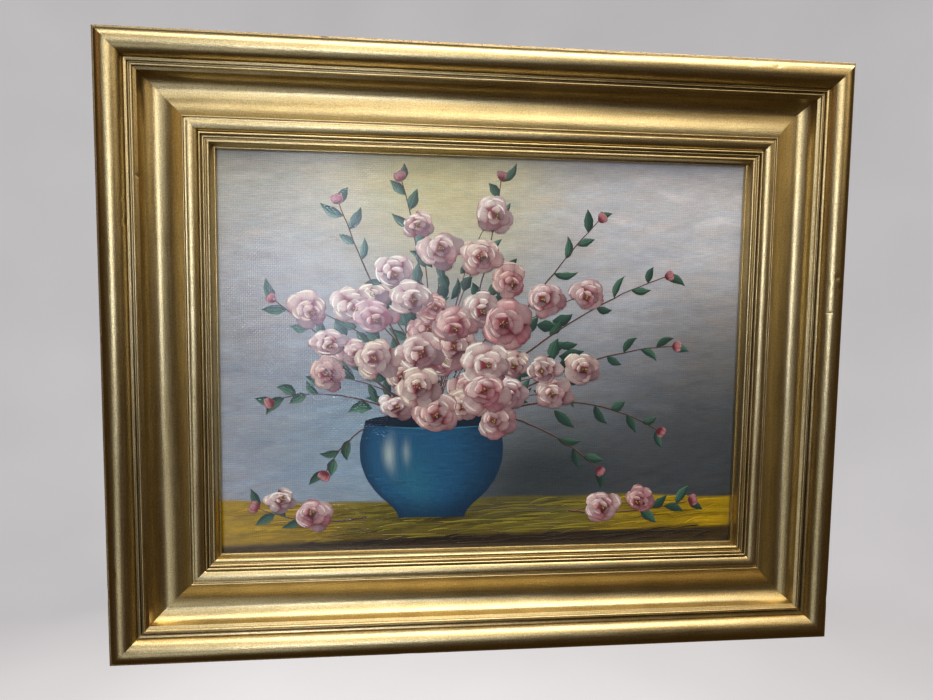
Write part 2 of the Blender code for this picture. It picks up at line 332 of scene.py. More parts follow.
def raw_linen_material():
    material, tree = new_material("raw_linen")
    where = add_node(tree, "TexCoord")
    weave = weave_height(tree, where.outputs["Object"], LINEN_SPACING)
    slubs, ageing = [add_node(tree, "TexNoise", None, {"Scale": scale, "Detail": detail},
                              {"Vector": where.outputs["Object"]})
                     for scale, detail in ((160.0, 3.0), (14.0, 4.0))]
    threads = add_node(tree, "ValToRGB", links={"Fac": weave},
                       stops=[(0.05, "#6b5a41"), (0.45, "#a08c6c"), (1.0, "#bda98a")])
    slubbed = add_node(tree, "Mix", {"data_type": "RGBA", "blend_type": "MULTIPLY"}, {0: 0.45},
                       {6: threads, 7: slubs})
    browned = add_node(tree, "MapRange", None, {"From Min": 0.45, "From Max": 0.75, "To Max": 0.5},
                       {"Value": ageing})
    aged = add_node(tree, "Mix", {"data_type": "RGBA"}, {7: linear("#7a6240")},
                    {0: browned, 6: slubbed.outputs[2]})
    bump = add_node(tree, "Bump", None, {"Strength": 0.7, "Distance": 0.00035}, {"Height": weave})
    surface = add_node(tree, "BsdfPrincipled", None,
                       {"Roughness": 0.9, "Specular IOR Level": 0.15, "Sheen Weight": 0.15},
                       {"Base Color": aged.outputs[2], "Normal": bump})
    close_material(tree, surface)
    return material


# Backdrop paper and floor: one plain pale matt tone.
def studio_paper_material():
    material, tree = new_material("studio_paper")
    where = add_node(tree, "TexCoord")
    mottle = add_node(tree, "TexNoise", None, {"Scale": 1.5, "Detail": 2.0},
                      {"Vector": where.outputs["Object"]})
    colour = add_node(tree, "ValToRGB", links={"Fac": mottle},
                      stops=[(0.3, "#cdcccf"), (0.7, "#d3d2d5")])
    surface = add_node(tree, "BsdfPrincipled", None,
                       {"Roughness": 0.95, "Specular IOR Level": 0.1, "Emission Strength": 0.62},
                       {"Base Color": colour, "Emission Color": colour})
    close_material(tree, surface)
    return material


def place_piece(name, mesh):
    """Shades a finished mesh, smooth but for its sharp edges, and puts it in the scene."""
    mesh.shade_smooth()
    mesh.set_sharp_from_angle(angle=SMOOTH_ANGLE)
    piece = bpy.data.objects.new(name, mesh)
    bpy.context.scene.collection.objects.link(piece)
    return piece


def make_piece(name, points, faces, materials, face_materials=None, vectors=None, numbers=None,
               colours=None):
    """One mesh object, with the values at its points that its materials read."""
    mesh = bpy.data.meshes.new(name)
    mesh.from_pydata([tuple(p) for p in points], [], faces)
    for material in materials:
        mesh.materials.append(material)
    if face_materials is not None:
        mesh.polygons.foreach_set("material_index", np.asarray(face_materials, np.int32))
    for label, values in (vectors or {}).items():
        mesh.attributes.new(label, "FLOAT_VECTOR", "POINT").data.foreach_set("vector", np.ravel(values))
    for label, values in (numbers or {}).items():
        mesh.attributes.new(label, "FLOAT", "POINT").data.foreach_set("value", np.ravel(values))
    for label, values in (colours or {}).items():
        flat = np.column_stack([values, np.ones(len(values))]).ravel()
        mesh.attributes.new(label, "FLOAT_COLOR", "POINT").data.foreach_set("color", flat)
    mesh.update()
    return place_piece(name, mesh)


def whole_faces(mesh):
    """A solid's mesh with its shared points joined and each flat side made one face."""
    shape = bmesh.new()
    shape.from_mesh(mesh)
    bmesh.ops.remove_doubles(shape, verts=shape.verts, dist=WELD)
    bmesh.ops.dissolve_limit(shape, angle_limit=FLAT_ANGLE, verts=shape.verts, edges=shape.edges)
    return shape


# The moulding

def read_section():
    """The moulding's outline, read off the top rail's mitred end: inwards from the outer edge, and height."""
    shape = whole_faces(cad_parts["frame_rail_top"].data)
    end = max(shape.faces, key=lambda face: len(face.verts))
    outline = np.array([(TOP_RAIL[1].z - v.co.z, -v.co.y) for v in end.verts])
    shape.free()
    following = np.roll(outline, -1, axis=0)
    area = np.sum(outline[:, 0] * following[:, 1] - following[:, 0] * outline[:, 1])
    if area > 0:
        outline = outline[::-1]
    start = int(np.argmin(outline[:, 0] + outline[:, 1]))
    return np.roll(outline, -start, axis=0)


def ease_arrises(outline):
    """Rounds each sharp arris by a small radius, as gesso and gilding do."""
    eased = []
    for here, before, after in zip(outline, np.roll(outline, 1, axis=0), np.roll(outline, -1, axis=0)):
        back, on = before - here, after - here
        back_length, on_length = np.linalg.norm(back), np.linalg.norm(on)
        turn = math.pi - math.acos(np.clip(np.dot(back, on) / (back_length * on_length), -1, 1))
        if turn < SHARP_TURN:
            eased.append(here)
            continue
        cut = min(ARRIS_RADIUS, 0.4 * back_length, 0.4 * on_length)
        first = here + back / back_length * cut
        last = here + on / on_length * cut
        eased += [first, 0.25 * first + 0.5 * here + 0.25 * last, last]
    return np.array(eased)


# Flats that slope down towards the picture: from and to, inwards, and how steeply
SLOPED_FLATS = [(0.0206, 0.0222, 0.46), (0.0257, 0.0279, 0.48)]
SLOPE_RUN_OUT = 0.0022


def slope_flats(outline):
    """Slopes the fillet and the shelf beside the roll, and runs the shelf's drop out into the scoop."""
    sloped = outline.copy()
    face = outline[:, 1] > FACE_HEIGHT + 0.002
    for start, end, steepness in SLOPED_FLATS:
        on_flat = face & (outline[:, 0] >= start) & (outline[:, 0] <= end)
        sloped[on_flat, 1] -= steepness * (outline[on_flat, 0] - start)
    drop = steepness * (end - start)
    beyond = face & (outline[:, 0] > end) & (outline[:, 0] < end + 4 * SLOPE_RUN_OUT)
    sloped[beyond, 1] -= drop * np.exp(-((outline[beyond, 0] - end) / SLOPE_RUN_OUT) ** 2)
    return sloped


def section_normals(outline):
    run = np.roll(outline, -1, axis=0) - np.roll(outline, 1, axis=0)
    run /= np.linalg.norm(run, axis=1)[:, None]
    return np.column_stack([-run[:, 1], run[:, 0]])


QUIRK_REACH = 0.0013
QUIRK_DEPTH = 0.0026
SIDE_INWARDS = 0.0002
RUBBED_EDGE = 0.0026
RUBBED_SHARE = 0.48


def quirk_depth(outline):
    """How deep each point lies between its neighbours, from 0 to 1: where grime gathers and where painted
    shade darkens the gilding.
    """
    depth = np.zeros(len(outline))
    for i, (inwards, height) in enumerate(outline):
        near = np.abs(outline[:, 0] - inwards) < QUIRK_REACH
        front = outline[near & (outline[:, 1] > FACE_HEIGHT)]
        if height > FACE_HEIGHT and len(front):
            left = front[front[:, 0] <= inwards][:, 1].max(initial=height)
            right = front[front[:, 0] >= inwards][:, 1].max(initial=height)
            depth[i] = min(left, right) - height
    return np.clip(depth / QUIRK_DEPTH, 0, 1)


# Marks of wear on the rails: how far along from the rail's middle, clockwise, how far inwards from
# the outer edge, how long, how wide and how deep, in millimetres, and how bare of gold it is
WEAR_MARKS = {
    "left": [(108, 19.1, 2.2, 1.0, 0.30, 0.2), (93, 19.5, 3.0, 1.2, 0.35, 0.2),
             (125, 27.4, 0.9, 0.7, 0.7, 0.9), (82, 6.1, 3.2, 1.3, 0.35, 0.3),
             (-154, 6.4, 4.0, 2.0, 0.4, 0.4), (-171, 1.0, 5.0, 1.4, 0.5, 1.0),
             (30, 66.5, 1.2, 0.6, 0.3, 0.2), (12, 1.2, 6.0, 1.2, 0.3, 0.9)],
    "right": [(-109, 24.8, 1.2, 0.7, 0.4, 0.2), (-58, 17.2, 2.6, 0.8, 0.35, 0.2),
              (-63, 10.3, 2.6, 1.5, 0.45, 0.3), (-55, 7.9, 2.2, 1.6, 0.45, 0.3),
              (-63.5, 2.2, 4.4, 1.6, 0.6, 1.0), (-35.8, 15.3, 0.9, 2.6, 0.35, 0.1),
              (-19.6, 26.6, 1.2, 0.8, 0.4, 0.2), (-32, 59.8, 1.0, 0.6, 0.3, 0.2),
              (-58, 69.8, 0.9, 0.5, 0.3, 0.2), (193, 1.0, 5.0, 1.5, 0.5, 1.0)],
    "top": [(189, 6.7, 5.0, 1.2, 0.35, 0.5), (209, 8.0, 3.0, 1.2, 0.35, 0.5),
            (-120, 0.8, 6.0, 1.0, 0.3, 0.9)],
    "bottom": [(-130, 10.0, 3.0, 0.8, 0.3, 0.1), (60, 1.0, 7.0, 1.2, 0.4, 0.9),
               (-205, 24.8, 1.2, 0.7, 0.3, 0.2)],
}
# The face is a little wavy along its length, in bands across it
WAVINESS = 0.00010
WAVY_BANDS = 6
BAND_SPACING = 0.013
BAND_SPREAD = 0.009
WAVE_LENGTH = 0.13
# The outer side's clay shows up to this height, on what lies this close to the outer edge
CLAY_HEIGHT = 0.0362
CLAY_INWARDS = 0.0009
# Each rail's direction along, and the direction from the frame's middle to its outer edge, as (x, z)
RAILS = {
    "top": ((1, 0), (0, 1)),
    "right": ((0, -1), (1, 0)),
    "bottom": ((-1, 0), (0, -1)),
    "left": ((0, 1), (-1, 0)),
}


def rail_stations(half_length, marks):
    """Where the rail's rings stand, from -1 to 1: evenly, and closer together at each mark."""
    count = int(round(2 * half_length / STATION_STEP))
    stations = set(np.round(np.linspace(-1, 1, count + 1), 5))
    for along, inwards, length, width, depth, bare in marks:
        reach = half_length - inwards * MILLIMETRE - MITRE_GAP
        for share in np.linspace(-1, 1, 9):
            place = (along + share * length) * MILLIMETRE / reach
            if abs(place) < 1:
                stations.add(round(float(place), 5))
    ordered = sorted(stations)
    kept = [ordered[0]]
    for place in ordered[1:]:
        if place - kept[-1] > 1e-4:
            kept.append(place)
    kept[-1] = 1.0
    return np.array(kept)


def gilt_rail(side, section, materials):
    (along_x, along_z), (out_x, out_z) = RAILS[side]
    half_length = HALF_WIDTH if out_z else HALF_HEIGHT
    edge = HALF_HEIGHT if out_z else HALF_WIDTH
    marks = WEAR_MARKS[side]
    outline, normals, quirks = section
    inwards, height = outline[:, 0], outline[:, 1]
    stations = rail_stations(half_length, marks)
    reach = half_length - inwards - MITRE_GAP
    along = stations[:, None] * reach[None, :]
    inwards = np.broadcast_to(inwards, along.shape)
    height = np.broadcast_to(height, along.shape)
    on_face = smooth_step(FACE_HEIGHT, FACE_HEIGHT + 0.003, height)
    number = list(RAILS).index(side)
    sink = np.zeros_like(along)
    for band in range(WAVY_BANDS):
        centre = band * BAND_SPACING + 0.006
        share = np.exp(-((inwards - centre) / BAND_SPREAD) ** 2)
        sink += share * WAVINESS * (0.5 + 0.5 * wander(along, 40 + number * 10 + band, WAVE_LENGTH))
    rubbed_to = RUBBED_EDGE + 0.0008 * wander(along, 90 + number, 0.05)
    bare = (1 - smooth_step(0.0012, rubbed_to, inwards)) * RUBBED_SHARE
    for mark_along, mark_inwards, length, width, depth, bareness in marks:
        across = (inwards / MILLIMETRE - mark_inwards) / width
        lengthwise = (along / MILLIMETRE - mark_along) / length
        share = np.exp(-1.6 * (across ** 2 + lengthwise ** 2))
        sink += share * depth * MILLIMETRE
        bare = np.maximum(bare, share * bareness)
    sink = np.maximum(sink, 0) * on_face
    inwards = inwards - normals[None, :, 0] * sink
    height = height - normals[None, :, 1] * sink
    x = along_x * along + out_x * (edge - inwards)
    z = along_z * along + out_z * (edge - inwards) + FRAME_CENTRE
    points = np.stack([x, -height, z], axis=2).reshape(-1, 3)
    rings, ring = along.shape
    at = np.arange(rings * ring).reshape(rings, ring)
    nxt = np.roll(at, -1, axis=1)
    quads = np.stack([at[:-1], at[1:], nxt[1:], nxt[:-1]], axis=2).reshape(-1, 4)
    faces = [tuple(int(i) for i in quad) for quad in quads]
    middle = (outline + np.roll(outline, -1, axis=0)) / 2
    column = np.zeros(ring, int)
    column[(middle[:, 1] < FACE_HEIGHT - 0.0002) & (middle[:, 0] > SIDE_INWARDS)] = 2
    column[(middle[:, 0] <= CLAY_INWARDS) & (middle[:, 1] < CLAY_HEIGHT)] = 1
    face_materials = np.tile(column, rings - 1)
    faces.append(tuple(int(i) for i in at[0]))
    faces.append(tuple(int(i) for i in at[-1][::-1]))
    face_materials = np.append(face_materials, [2, 2])
    places = np.stack([along + number, inwards, height], axis=2).reshape(-1, 3)
    rail = make_piece(
        "gilt_rail_" + side, points, faces, materials, face_materials,
        vectors={"rail_place": places, "grain_place": places},
        numbers={"quirk": np.tile(quirks, rings), "worn": bare})
    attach(rail, "root")
    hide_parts("frame_rail_" + side)


# The stretcher bars

BAR_EASE = 0.0006


def stretcher_bar(side, material):
    """One pine bar: the solid's own shape with its edges eased."""
    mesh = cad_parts["stretcher_bar_" + side].data.copy()
    shape = whole_faces(mesh)
    bmesh.ops.bevel(shape, geom=shape.edges[:], offset=BAR_EASE, segments=2, affect="EDGES",
                    clamp_overlap=True)
    shape.to_mesh(mesh)
    shape.free()
    mesh.materials.clear()
    mesh.materials.append(material)
    co = np.zeros(len(mesh.vertices) * 3)
    mesh.vertices.foreach_get("co", co)
    x, y, z = co.reshape(-1, 3).T
    level = side in ("top", "bottom")
    number = list(RAILS).index(side)
    places = np.column_stack([(x if level else z) + number * 1.7, z if level else x, y])
    mesh.attributes.new("grain_place", "FLOAT_VECTOR", "POINT").data.foreach_set("vector", places.ravel())
    bar = place_piece("pine_bar_" + side, mesh)
    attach(bar, "root")
    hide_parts("stretcher_bar_" + side)


# The picture's design, in millimetres from the middle of the sight opening, x to the right, z up

# Broad areas of the background: where each is strongest, how far it spreads, its weight and its colour
BACKGROUND_AREAS = [
    (-150, 105, 80, 1.0, "#b3b099"),
    (-40, 138, 50, 1.9, "#d9cd84"),
    (90, 125, 75, 1.1, "#cfccc8"),
    (195, 100, 50, 1.0, "#cfccc6"),
    (-175, 15, 75, 1.0, "#9a9da2"),
    (-175, -80, 70, 1.0, "#8f949a"),
    (-95, -58, 46, 1.5, "#85a6b6"),
    (60, 30, 80, 0.7, "#9da1a4"),
    (190, 15, 40, 1.1, "#74716a"),
    (165, -70, 64, 2.0, "#3a3e3e"),
    (45, -98, 40, 1.8, "#333b3b"),
]
TABLE_TOP = -111.0
# Where the cloth turns down at the table's front, higher towards the right
FRONT_EDGE = -140.0
FRONT_SLOPE = 0.02
TABLE_YELLOW = "#a88604"
TABLE_OLIVE = "#746a20"
TABLE_BROWN = "#54441f"
TABLE_DARK = "#241a10"
SHADOW_BROWN = "#4b4436"

GRID_COLUMNS = 300
GRID_ROWS = 226
DAB_COUNT = 5200
DAB_HALF_LENGTHS = (8, 20)
DAB_HALF_WIDTHS = (1.6, 4.2)
# How much lighter or darker, and how much warmer or cooler, one dab may be
DAB_TONE = 0.03
TABLE_DAB_TONE = 0.13
DAB_WARMTH = 0.012
# Soft shadows: centre, half width and half height, strength and colour
SHADOWS = [
    (10, -119, 62, 8, 0.8, SHADOW_BROWN),
    (-42, -126, 36, 4, 0.8, TABLE_DARK),
    (-20, 10, 90, 62, 0.35, "#5c665e"),
    (45, -92, 56, 22, 0.6, "#252a29"),
]


def table_edge(x):
    """The far edge of the table, a little uneven."""
    return TABLE_TOP + 1.6 * np.sin(x / 46.0) + 0.8 * np.sin(x / 17.0 + 1.0)


def lay_ground_colours(x, z):
    total = np.zeros(x.shape + (3,))
    weights = np.zeros(x.shape)
    for area_x, area_z, spread, weight, colour in BACKGROUND_AREAS:
        share = weight * np.exp(-((x - area_x) ** 2 + (1.2 * (z - area_z)) ** 2) / (2 * spread ** 2))
        total += share[..., None] * paint(colour)
        weights += share
    ground = total / weights[..., None]
    edge = table_edge(x)
    on_table = smooth_step(1.2, -1.2, z - edge)
    ends = smooth_step(60, 190, np.abs(x + 10))
    cloth = mixed(mixed(paint(TABLE_BROWN), paint(TABLE_OLIVE), smooth_step(-146, -122, z)),
                  paint(TABLE_YELLOW), ends * 0.85)
    fall = z - FRONT_EDGE - FRONT_SLOPE * x
    cloth = mixed(cloth, paint(TABLE_DARK), smooth_step(2.5, -2.5, fall) * 0.95)
    return mixed(ground, cloth, on_table)


def brush_ground(x, z, ground):
    """Lays many short brush marks over the ground: each shifts the tone a little and leaves a low ridge."""
    chance = np.random.RandomState(7)
    relief = np.zeros(x.shape)
    step_x = x[0, 1] - x[0, 0]
    step_z = z[1, 0] - z[0, 0]
    for dab in range(DAB_COUNT):
        centre_x = chance.uniform(x[0, 0], x[0, -1])
        centre_z = chance.uniform(z[0, 0], z[-1, 0])
        table = centre_z < TABLE_TOP
        half_length = chance.uniform(*DAB_HALF_LENGTHS)
        half_width = chance.uniform(*DAB_HALF_WIDTHS) * (0.5 if table else 1.0)
        angle = chance.normal(0.06, 0.12 if table else 0.22)
        tone = 1 + chance.normal(0, TABLE_DAB_TONE if table else DAB_TONE)
        warmth = chance.normal(0, DAB_WARMTH)
        window = half_length + 2
        left = max(int((centre_x - window - x[0, 0]) / step_x), 0)
        right = int((centre_x + window - x[0, 0]) / step_x) + 2
        low = max(int((centre_z - window - z[0, 0]) / step_z), 0)
        high = int((centre_z + window - z[0, 0]) / step_z) + 2
        part = (slice(low, high), slice(left, right))
        dx, dz = x[part] - centre_x, z[part] - centre_z
        along = dx * math.cos(angle) + dz * math.sin(angle)
        across = -dx * math.sin(angle) + dz * math.cos(angle)
        share = (smooth_step(1.0, 0.72, np.abs(along) / half_length)
                 * smooth_step(1.0, 0.6, np.abs(across) / half_width))
        shift = tone * np.array([1 + warmth, 1.0, 1 - warmth])
        ground[part] = mixed(ground[part], ground[part] * shift, share * 0.8)
        ridge = share * (0.35 + 0.65 * (np.abs(across) / half_width) ** 2)
        relief[part] = relief[part] * (1 - 0.5 * share) + ridge * chance.uniform(0.2, 1.0)
    return ground, np.clip(relief, 0, 1.4)


PAINT_RELIEF = 0.00006
CLOTH_THICKNESS = 0.0008
TURNED_BACK = 0.0158
CORNER_ROUND = 0.0008
FLAT_HALF_WIDTH = CANVAS_HALF_WIDTH - CORNER_ROUND
FLAT_HALF_HEIGHT = CANVAS_HALF_HEIGHT - CORNER_ROUND
# The brush marks' ridges fade out over this many millimetres towards the frame
RELIEF_FADE = 6.0
PRIMER_CREAM = "#cfc4a8"


def picture_ground():
    """The front grid's points, colours and relief, before the figures are painted on it."""
    across = np.linspace(-FLAT_HALF_WIDTH, FLAT_HALF_WIDTH, GRID_COLUMNS + 1) / MILLIMETRE
    upwards = np.linspace(-FLAT_HALF_HEIGHT, FLAT_HALF_HEIGHT, GRID_ROWS + 1) / MILLIMETRE
    shift = (CANVAS_CENTRE - FRAME_CENTRE) / MILLIMETRE
    x, z = np.meshgrid(across, upwards + shift)
    ground = lay_ground_colours(x, z)
    for centre_x, centre_z, wide, high, strength, colour in SHADOWS:
        share = strength * np.exp(-((x - centre_x) / wide) ** 2 - ((z - centre_z) / high) ** 2)
        ground = mixed(ground, paint(colour), share)
    ground, relief = brush_ground(x, z, ground)
    inside = (smooth_step(0.0, RELIEF_FADE, SIGHT_HALF_WIDTH / MILLIMETRE - np.abs(x))
              * smooth_step(0.0, RELIEF_FADE, SIGHT_HALF_HEIGHT / MILLIMETRE - np.abs(z)))
    return x, z, ground, relief * inside


def wrap_rings():
    """The cloth beyond the front grid, as (out past the front's flat part, y): round the edge, along
    the side, onto the back, and the same way back on the inside of the cloth."""
    front, back, skin, bend = CANVAS_FRONT, CANVAS_BACK, CLOTH_THICKNESS, CORNER_ROUND
    rings = [(bend * math.sin(a), front + bend * (1 - math.cos(a))) for a in (0.52, 1.05, 1.571)]
    rings += [(bend, front + (back - front) * share) for share in (0.25, 0.5, 0.75)]
    rings += [(bend * math.cos(a), back - bend * (1 - math.sin(a))) for a in (0.0, 0.52, 1.05, 1.571)]
    rings += [(bend - TURNED_BACK * share, back) for share in (0.2, 0.5, 0.8, 0.97)]
    rings += [(bend - TURNED_BACK, back - skin / 2), (bend - TURNED_BACK * 0.97, back - skin)]
    rings += [(bend - TURNED_BACK * share, back - skin) for share in (0.7, 0.4, 0.15)]
    rings += [(bend - skin, back - skin), (bend - skin, (front + back) / 2), (bend - skin, front + skin)]
    return rings


def painted_cloth(materials):
    x, z, ground, relief = picture_ground()
    rows, columns = x.shape
    y = CANVAS_FRONT / MILLIMETRE - relief * PAINT_RELIEF / MILLIMETRE
    grid = np.stack([x * MILLIMETRE, y * MILLIMETRE, z * MILLIMETRE + FRAME_CENTRE], axis=2).reshape(-1, 3)
    at = np.arange(rows * columns).reshape(rows, columns)
    faces = np.stack([at[:-1, :-1], at[:-1, 1:], at[1:, 1:], at[1:, :-1]], axis=2).reshape(-1, 4).tolist()
    face_materials = [0] * len(faces)
    border = np.concatenate([at[0, :-1], at[:-1, -1], at[-1, :0:-1], at[:0:-1, 0]])
    across = grid[border, 0]
    upright = grid[border, 2] - CANVAS_CENTRE
    sides_x = np.where(np.isclose(np.abs(across), FLAT_HALF_WIDTH, atol=1e-5), np.sign(across), 0)
    sides_z = np.where(np.isclose(np.abs(upright), FLAT_HALF_HEIGHT, atol=1e-5), np.sign(upright), 0)
    points = [grid]
    colours = [ground.reshape(-1, 3)]
    ring_before = border
    total = len(grid)
    run = np.cumsum(np.full(len(border), 1.4))
    for out, depth in wrap_rings():
        fray = 0.0006 * wander(run, 5, 60.0) if out < -0.9 * TURNED_BACK else 0.0
        shrink = max(-out, 0.0)
        share_x = 1 - shrink / CANVAS_HALF_WIDTH
        share_z = 1 - shrink / CANVAS_HALF_HEIGHT
        ring_x = across * share_x + sides_x * max(out, 0.0) + sides_x * fray
        ring_z = upright * share_z + sides_z * max(out, 0.0) + sides_z * fray + CANVAS_CENTRE
        points.append(np.column_stack([ring_x, np.full(len(border), depth), ring_z]))
        colours.append(np.tile(paint(PRIMER_CREAM), (len(border), 1)))
        ring_now = np.arange(total, total + len(border))
        total += len(border)
        quads = np.stack([ring_before, ring_now, np.roll(ring_now, -1), np.roll(ring_before, -1)], axis=1)
        faces += [quad[::-1] for quad in quads.tolist()]
        face_materials += [1] * len(border)
        ring_before = ring_now
    faces.append(ring_before.tolist()[::-1])
    face_materials.append(1)
    points = np.concatenate(points)
    colours = np.concatenate(colours)
    stroke = np.column_stack([points[:, 0], points[:, 2], np.zeros(len(points))])
    cloth = make_piece("stretched_cloth", points, faces, materials, face_materials,
                       vectors={"stroke_place": stroke}, colours={"paint": colours})
    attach(cloth, "root")
    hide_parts("painted_canvas")
    return cloth


# Figures in the picture: each is a set of closed strokes of paint that stand on the cloth

# Heights of the paint above the cloth, in millimetres
FOOT = -0.05
OVER_GROUND = 0.16
STROKE_EDGE = 0.10
LEVEL_STEP = 0.11
PETAL_STEP = 0.035
BRISTLE_RIDGE = 0.012


class Strokes:
    """Gathers strokes of paint for one piece. Places are in millimetres in the picture."""

    def __init__(self, seed):
        self.points = []
        self.faces = []
        self.colours = []
        self.places = []
        self.count = 0
        self.chance = np.random.RandomState(seed)

    def add(self, line, widths, base, swell, colours, across=5, waver=0.0, streak=0.0):
        """One stroke along line, half as wide at each point as widths says. Its edge stands base above the
        ground, its middle swell higher. colours(s, t) gives its colour, and streak how uneven the load is."""
        line = np.asarray(line, float)
        widths = np.asarray(widths, float)
        run = np.gradient(line, axis=0)
        run /= np.maximum(np.linalg.norm(run, axis=1), 1e-9)[:, None]
        line = np.vstack([line[0] - run[0] * STROKE_EDGE, line, line[-1] + run[-1] * STROKE_EDGE])
        run = np.vstack([run[0], run, run[-1]])
        widths = np.concatenate([[widths[0] * 0.8], widths, [widths[-1] * 0.8]])
        side = np.column_stack([-run[:, 1], run[:, 0]])
        steps = len(line)
        lanes = np.linspace(-1.0, 1.0, across)
        ragged = 1 + waver * self.chance.uniform(-1, 1, (steps, 1)) * np.abs(lanes)[None, :]
        offset = widths[:, None] * lanes[None, :] * ragged
        offset = np.column_stack([offset[:, 0] - STROKE_EDGE, offset, offset[:, -1] + STROKE_EDGE])
        lanes = np.concatenate([[-1.0], lanes, [1.0]])
        places = line[:, None, :] + side[:, None, :] * offset[..., None]
        share = np.concatenate([[0.0], np.linspace(0, 1, steps - 2), [1.0]])
        load = self.chance.uniform(-1, 1, len(lanes))
        fade = self.chance.uniform(-1, 1, len(lanes))
        ridges = load[None, :] * (1 - share)[:, None] + fade[None, :] * share[:, None]
        height = OVER_GROUND + base + swell * (1 - lanes ** 2)[None, :] + BRISTLE_RIDGE * ridges
        height[:, [0, -1]] = FOOT
        height[[0, -1], :] = FOOT
        lane_count = len(lanes)
        at = np.arange(steps * lane_count).reshape(steps, lane_count) + self.count
        top = np.stack([at[:-1, :-1], at[1:, :-1], at[1:, 1:], at[:-1, 1:]], axis=2).reshape(-1, 4)
        under = np.stack([at[:-1, 0], at[:-1, -1], at[1:, -1], at[1:, 0]], axis=1)
        s, t = np.meshgrid(share, lanes, indexing="ij")
        tone = colours(s, t) * (1 + streak * ridges)[..., None]
        self.points.append(np.stack([places[..., 0], -height, places[..., 1]], axis=2).reshape(-1, 3))
        self.faces += top.tolist() + under.tolist()
        self.colours.append(np.clip(tone, 0, 1).reshape(-1, 3))
        length = np.cumsum(np.concatenate([[0], np.linalg.norm(np.diff(line, axis=0), axis=1)]))
        start = self.chance.uniform(0, 500)
        along = np.broadcast_to(length[:, None], offset.shape)
        place = np.stack([along + start, offset + start, offset * 0], axis=2)
        self.places.append(place.reshape(-1, 3) * MILLIMETRE)
        self.count += steps * lane_count

    def dash(self, line, widths, base, colour, streak=0.15):
        """One narrow stroke of a single colour."""
        self.add(line, widths, base, 0.04, lambda s, t: colour, 3, 0.1, streak)

    def piece(self, name, material):
        points = np.concatenate(self.points) * MILLIMETRE
        points[:, 1] += CANVAS_FRONT
        points[:, 2] += FRAME_CENTRE
        figure = make_piece(name, points, self.faces, [material],
                            vectors={"stroke_place": np.concatenate(self.places)},
                            colours={"paint": np.concatenate(self.colours)})
        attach(figure, "root")
        return figure


PETAL_WHITE = "#f5ede2"
PETAL_CREAM = "#ecdcb8"
PETAL_PINK = "#dcb4aa"
PETAL_BLUSH = "#c98a88"
PETAL_MAUVE = "#866868"
PETAL_ROSE = "#a8404c"
PETAL_CRIMSON = "#76202c"
HEART_GREEN = "#5d6430"
HEART_YELLOW = "#c2ab55"
LEAF_GREEN = "#35604a"
LEAF_LIGHT = "#6c9277"
LEAF_DARK = "#1c3029"
TWIG_BROWN = "#43271f"
TWIG_LIGHT = "#86604a"
BOWL_BLUE = "#1d5475"
BOWL_DEEP = "#0e2c41"
BOWL_TEAL = "#2b6d80"
BOWL_SHINE = "#b4c4ba"
LIGHT_ANGLE = math.radians(130)


def curve(start, bend, end, steps):
    """Points on a smooth curve from start to end that leans towards bend."""
    share = np.linspace(0, 1, steps)[:, None]
    start, bend, end = np.array(start, float), np.array(bend, float), np.array(end, float)
    return (1 - share) ** 2 * start + 2 * share * (1 - share) * bend + share ** 2 * end


# A petal's half width along its length, as a share of its widest
PETAL_FORM = (0.3, 0.66, 0.92, 1.0, 0.97, 0.78, 0.34)
# Half widths of the pale stroke along a petal's rim
RIM_STROKE = np.array([0.2, 0.5, 0.6, 0.45, 0.15]) * 0.12


def petal(strokes, centre, turn, length, width, squeeze, base, light, rosy, tint):
    """One broad petal: dark rose at its foot, lighter to its rim, streaked lengthwise by the brush."""
    chance = strokes.chance
    tip = towards(turn, squeeze) * length
    lean = sideways(turn, squeeze) * length * chance.uniform(-0.2, 0.2)
    line = curve(centre + tip * 0.06, centre + tip * 0.5 + lean, centre + tip, len(PETAL_FORM))
    narrow = math.hypot(squeeze * math.cos(turn), math.sin(turn))
    widths = width * np.array(PETAL_FORM) * narrow * chance.uniform(0.85, 1.12)
    rim = mixed(paint(PETAL_MAUVE), tint, light)
    body = mixed(paint(PETAL_MAUVE) * 0.7, mixed(paint(PETAL_PINK), tint, 0.35), light * 0.9)
    body = mixed(body, paint(PETAL_ROSE), rosy ** 2 * 0.6)
    foot = mixed(paint(PETAL_CRIMSON) * 0.4, paint(PETAL_ROSE), light * 0.5)
    bright_side = 1.0 if math.sin(LIGHT_ANGLE - turn) > 0 else -1.0
    reach = chance.uniform(0.15, 0.45)

    def colours(s, t):
        tone = mixed(foot, body, smooth_step(reach, reach + 0.3, s))
        tone = mixed(tone, rim, smooth_step(0.5, 0.9, s) * (0.7 + 0.3 * t * bright_side))
        tone = mixed(tone, foot, smooth_step(0.5, 1.0, -t * bright_side) * 0.6)
        return mixed(tone, paint(PETAL_CRIMSON), smooth_step(0.88, 1.0, s) * rosy * 0.8)

    strokes.add(line, widths, base, 0.02, colours, across=7, waver=0.13, streak=0.16 + 0.1 * rosy)
    if light > 0.4:
        half = width / length * chance.uniform(0.3, 0.8)
        middle = turn + chance.uniform(-0.2, 0.45) * bright_side * half
        angles = np.linspace(middle - half, middle + half, len(RIM_STROKE))
        arc = np.column_stack([np.cos(angles), np.sin(angles) * squeeze]) * length * chance.uniform(0.8, 0.97)
        strokes.dash(centre + lean * 0.4 + arc, RIM_STROKE * width + 0.1, base + 0.04,
                     tint * (0.7 + 0.5 * light))


# The three rings of petals: how many, and how long and wide as shares of the flower's radius
PETAL_RINGS = [(6, 1.0, 0.52), (5, 0.72, 0.40), (4, 0.45, 0.27)]
RING_TURN = 0.55
HEART_DOTS = 11


